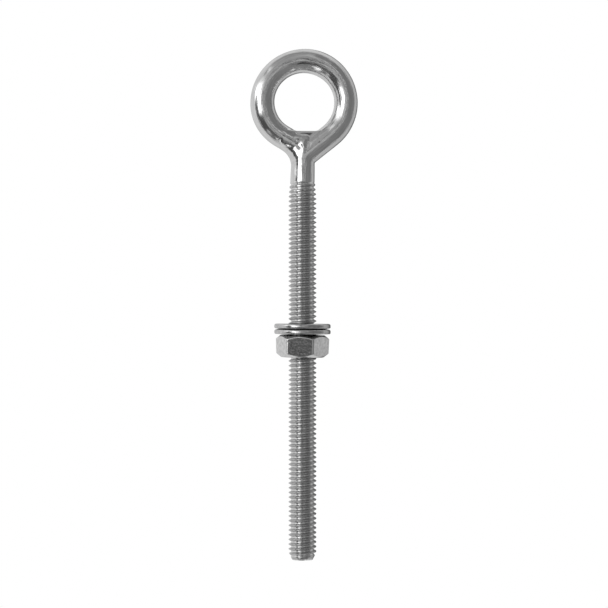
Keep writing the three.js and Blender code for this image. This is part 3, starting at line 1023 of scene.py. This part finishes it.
# Soft boxes and dark flags round the bolt, painted one over the other. Each has its direction
# as the angle from the camera's side and the angle round it from the right, then its half
# sizes away from the camera's direction and round it, its soft edge, its brightness, and how
# far it is tilted.
LIGHT_TENT = 0.87
PANELS = (
    (112, 0, 34, 62, 0.2, 0.62, 0),  # right-hand wall of the tent
    (166, -8, 34, 42, 0.3, 0.18, 0),  # what stands behind, to the right
    (166, 180, 20, 50, 0.5, 0.7, 0),  # and to the left
    (51, 5, 42, 82, 0.14, 0.25, 0),  # the dark side of the room
    (44, -100, 42, 42, 0.2, 0.28, 0),  # table edge below
    (76, 100, 20, 34, 0.5, 0.34, 0),  # far edge of the ceiling
    (40, 110, 36, 20, 0.5, 0.44, 0),  # and its lit part
    (30, 47, 20, 2.8, 0.7, 0.95, 50),  # its edge on the right
    (42, 219, 30, 25, 0.2, 0.17, 0),  # dark floor to the left
    (43, 169, 39, 12.5, 0.55, 3.0, -16),  # soft box
    (57, 132, 16, 3, 0.6, 1.1, 0),  # gap between it and the ceiling
    (68, 138, 8, 4, 0.5, 0.2, 0),  # and the dark beyond it
    (58, 181, 13, 17, 0.3, 0.14, 0),  # frame of the soft box
    (64, 206, 9, 18, 0.4, 0.07, 0),
    (33, 213, 29, 9.5, 0.3, 0.1, 0),  # and its leg
    (50, 227, 9, 3, 0.5, 0.7, 0),  # two strips of light on the floor
    (55, 246, 15, 4, 0.4, 2.0, 0),  # the brighter of the two
    (22, 266, 14, 9, 0.4, 0.05, 0),  # the camera's stand
    (15, 86, 8, 7, 0.5, 0.07, 0),  # and the camera above it
    (78, -70, 8, 4, 0.5, 1.3, 0),  # glint of the table's edge
)


def direction_of(away, turn):
    away, turn = math.radians(away), math.radians(turn)
    across, up = math.sin(away) * math.cos(turn), math.sin(away) * math.sin(turn)
    return Vector((across, -math.cos(away), up))


def studio():
    """Lights the bolt with the panels, and shows the camera a plain white backdrop."""
    world = bpy.data.worlds.new("studio")
    bpy.context.scene.world = world
    world.use_nodes = True
    tree = world.node_tree
    tree.nodes.clear()
    direction = node(tree, "ShaderNodeTexCoord").outputs["Generated"]

    def dot(vector):
        made = node(tree, "ShaderNodeVectorMath", operation="DOT_PRODUCT")
        return fill(tree, made, {0: direction, 1: vector}).outputs["Value"]

    def squared(side, ahead, half):
        """The square of an angle off a panel's middle, as a share of its half size."""
        angle = maths(tree, "ARCTAN2", dot(side), ahead)
        share = maths(tree, "DIVIDE", angle, math.radians(half))
        return maths(tree, "MULTIPLY", share, share)

    brightness = LIGHT_TENT
    for away, turn, half_away, half_round, soft, level, tilt in PANELS:
        middle = direction_of(away, turn)
        outward = Quaternion(middle, math.radians(tilt)) @ direction_of(away + 90, turn)
        ahead = dot(middle)
        along = squared(outward, ahead, half_away)
        around = squared(middle.cross(outward), ahead, half_round)
        reach = maths(tree, "SQRT", maths(tree, "ADD", along, around))
        edge = (1 - soft, 1 + soft)
        mask = ranged(tree, reach, edge, (1, 0), interpolation_type="SMOOTHSTEP")
        change = maths(tree, "SUBTRACT", level, brightness)
        brightness = maths(tree, "MULTIPLY_ADD", mask, change, brightness)

    def background(strength):
        inputs = {"Color": WHITE, "Strength": strength}
        return fill(tree, node(tree, "ShaderNodeBackground"), inputs).outputs[0]

    for_camera = node(tree, "ShaderNodeLightPath").outputs["Is Camera Ray"]
    choices = {0: for_camera, 1: background(brightness), 2: background(1.0)}
    choose = fill(tree, node(tree, "ShaderNodeMixShader"), choices)
    out = node(tree, "ShaderNodeOutputWorld")
    tree.links.new(choose.outputs[0], out.inputs["Surface"])


# ---------------------------------------------------------------- assembly


def place(piece, body, cad_node, slot, material):
    piece.data.materials.append(material)
    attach(piece, body)
    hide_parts(cad_node)


bpy.context.scene.view_settings.view_transform = "Standard"
camera()
floor()
studio()

LONG_STREAKS = (3200, 3200, 380)
EVEN_MARKS = (1500, 1500, 1500)
bar_steel = steel(
    "polished_bar",
    shade=(0.57, 0.69),
    rough=(0.08, 0.14),
    streaks=(LONG_STREAKS, 0.05 * MM),
    grain=(5200, 0.002 * MM),
)
weld_steel = steel(
    "polished_weld",
    shade=(0.57, 0.67),
    rough=(0.09, 0.15),
    streaks=(EVEN_MARKS, 0.007 * MM),
    grain=(5200, 0.002 * MM),
)
nut_steel = steel(
    "bright_nut",
    shade=(0.5, 0.67),
    rough=(0.07, 0.14),
    streaks=(EVEN_MARKS, 0.016 * MM),
    grain=(3400, 0.009 * MM),
)
washer_steel = steel(
    "stamped_washer",
    shade=(0.42, 0.58),
    rough=(0.12, 0.24),
    streaks=(EVEN_MARKS, 0.025 * MM),
    grain=(4200, 0.012 * MM),
)

place(bar_piece(), "bolt", "eye_bolt", "polished_bar", bar_steel)
place(weld_piece(), "bolt", "eye_weld", "weld_metal", weld_steel)
place(nut_piece(), "nut", "hex_nut", "nut_steel", nut_steel)
lower = washer_piece(
    "washer_lower_stamped", LOWER_LOW, LOWER_HIGH, crown_top=0.07 * MM, crown_bottom=0.03 * MM, seed=21
)
upper = washer_piece(
    "washer_upper_stamped", UPPER_LOW, UPPER_HIGH, crown_top=0.0, crown_bottom=0.07 * MM, seed=22
)
place(lower, "lower_washer", "washer_lower", "washer_steel", washer_steel)
place(upper, "upper_washer", "washer_upper", "washer_steel", washer_steel)
